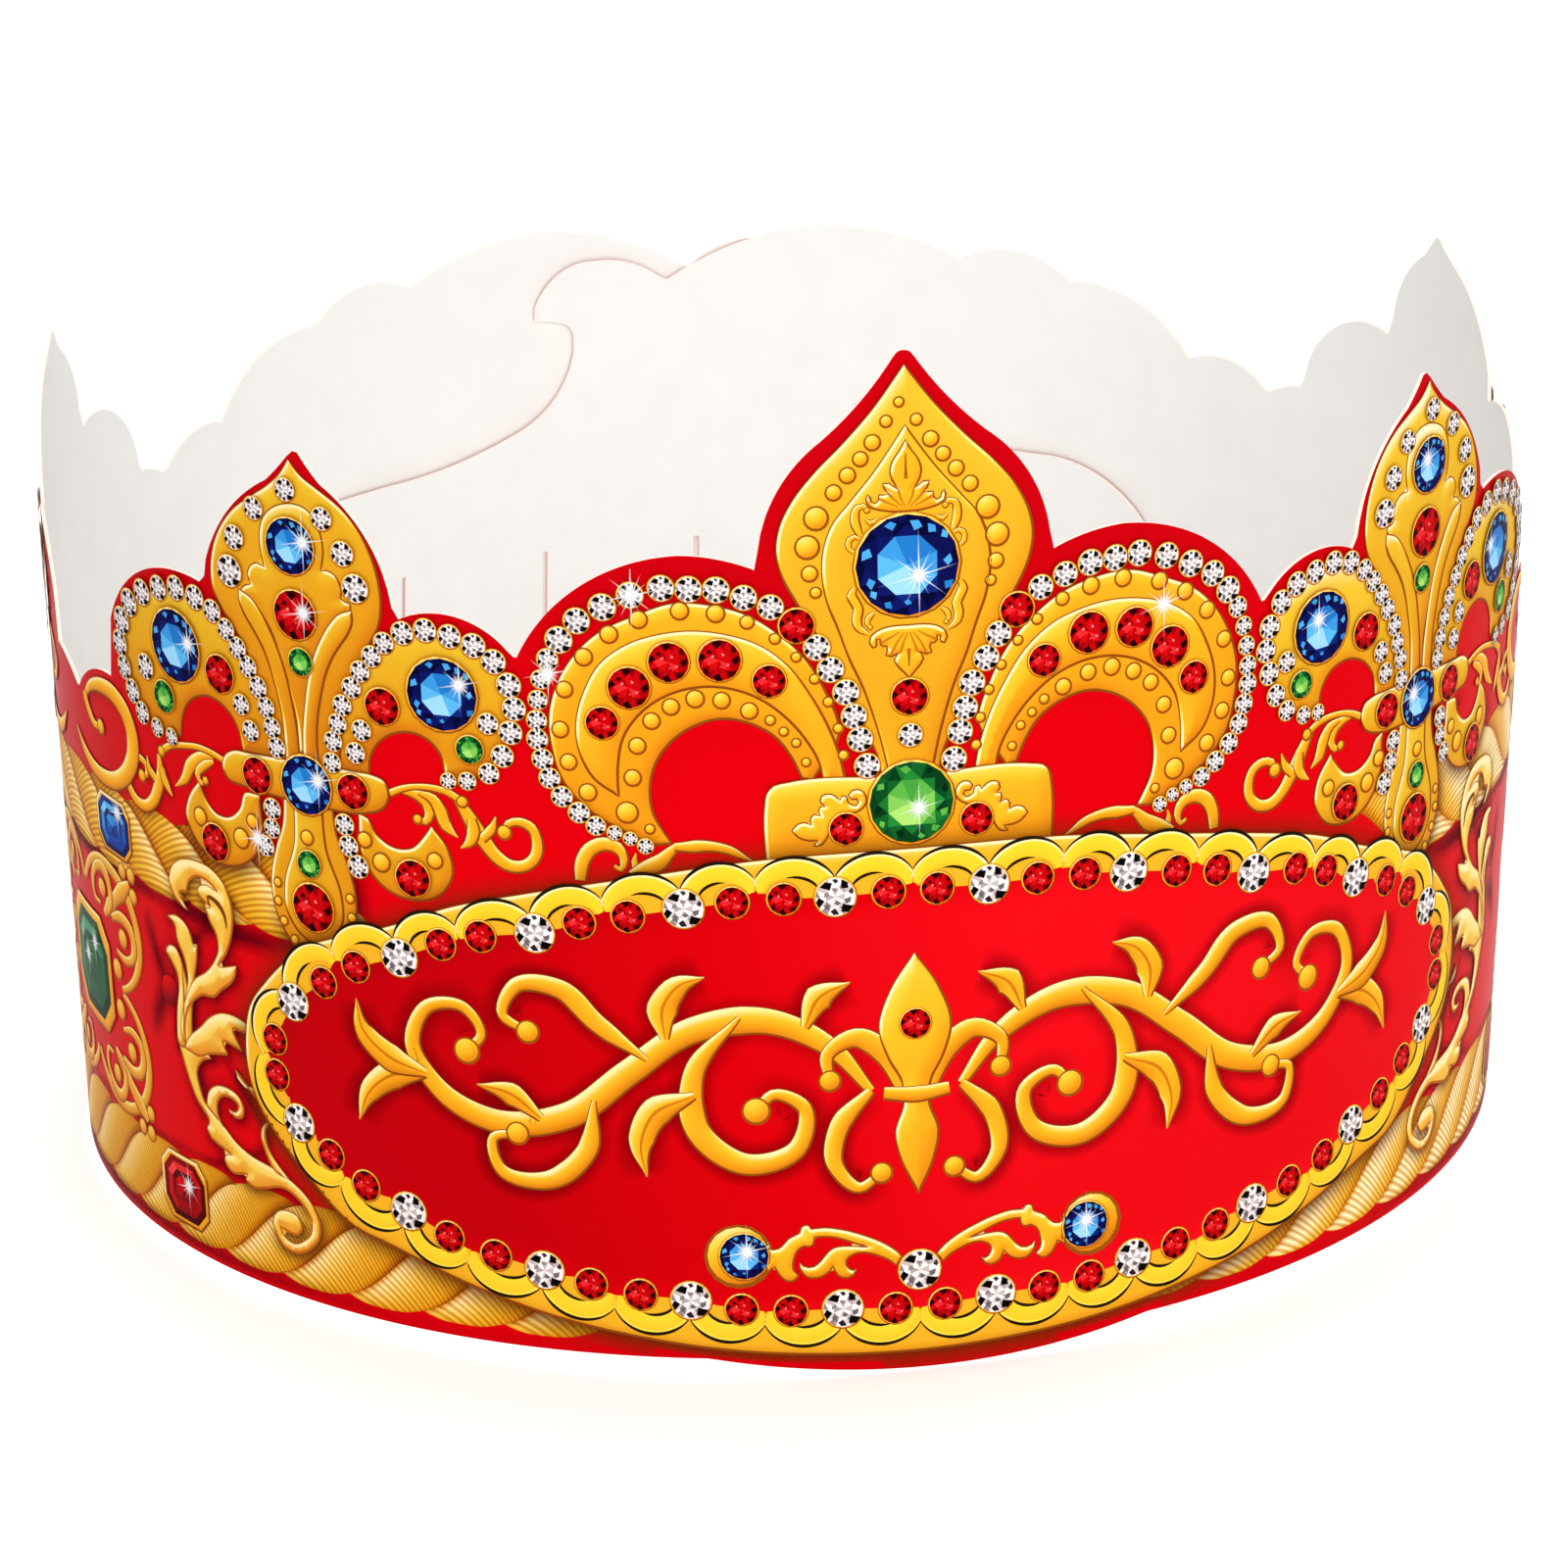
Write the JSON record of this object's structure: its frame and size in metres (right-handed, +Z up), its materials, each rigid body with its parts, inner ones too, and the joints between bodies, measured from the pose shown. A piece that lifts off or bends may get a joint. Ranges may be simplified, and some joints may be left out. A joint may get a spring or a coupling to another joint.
{
  "type": "party crown",
  "caption": "Cut-out card party crown: one printed strip with petals and lobes along its top edge, bent into a ring and closed at the back by crossed slits.",
  "frame": {"origin": "middle of the ring, level with the surface that the bottom edge stands on", "axes": "+Z up, front petal towards -Y, wearer's left towards +X"},
  "size_m": [0.1751, 0.1729, 0.115],
  "materials": {
    "card": "gloss-printed red outside, bare white inside"
  },
  "bodies": {
    "root": {"card_band": "card"}
  },
  "joints": []
}
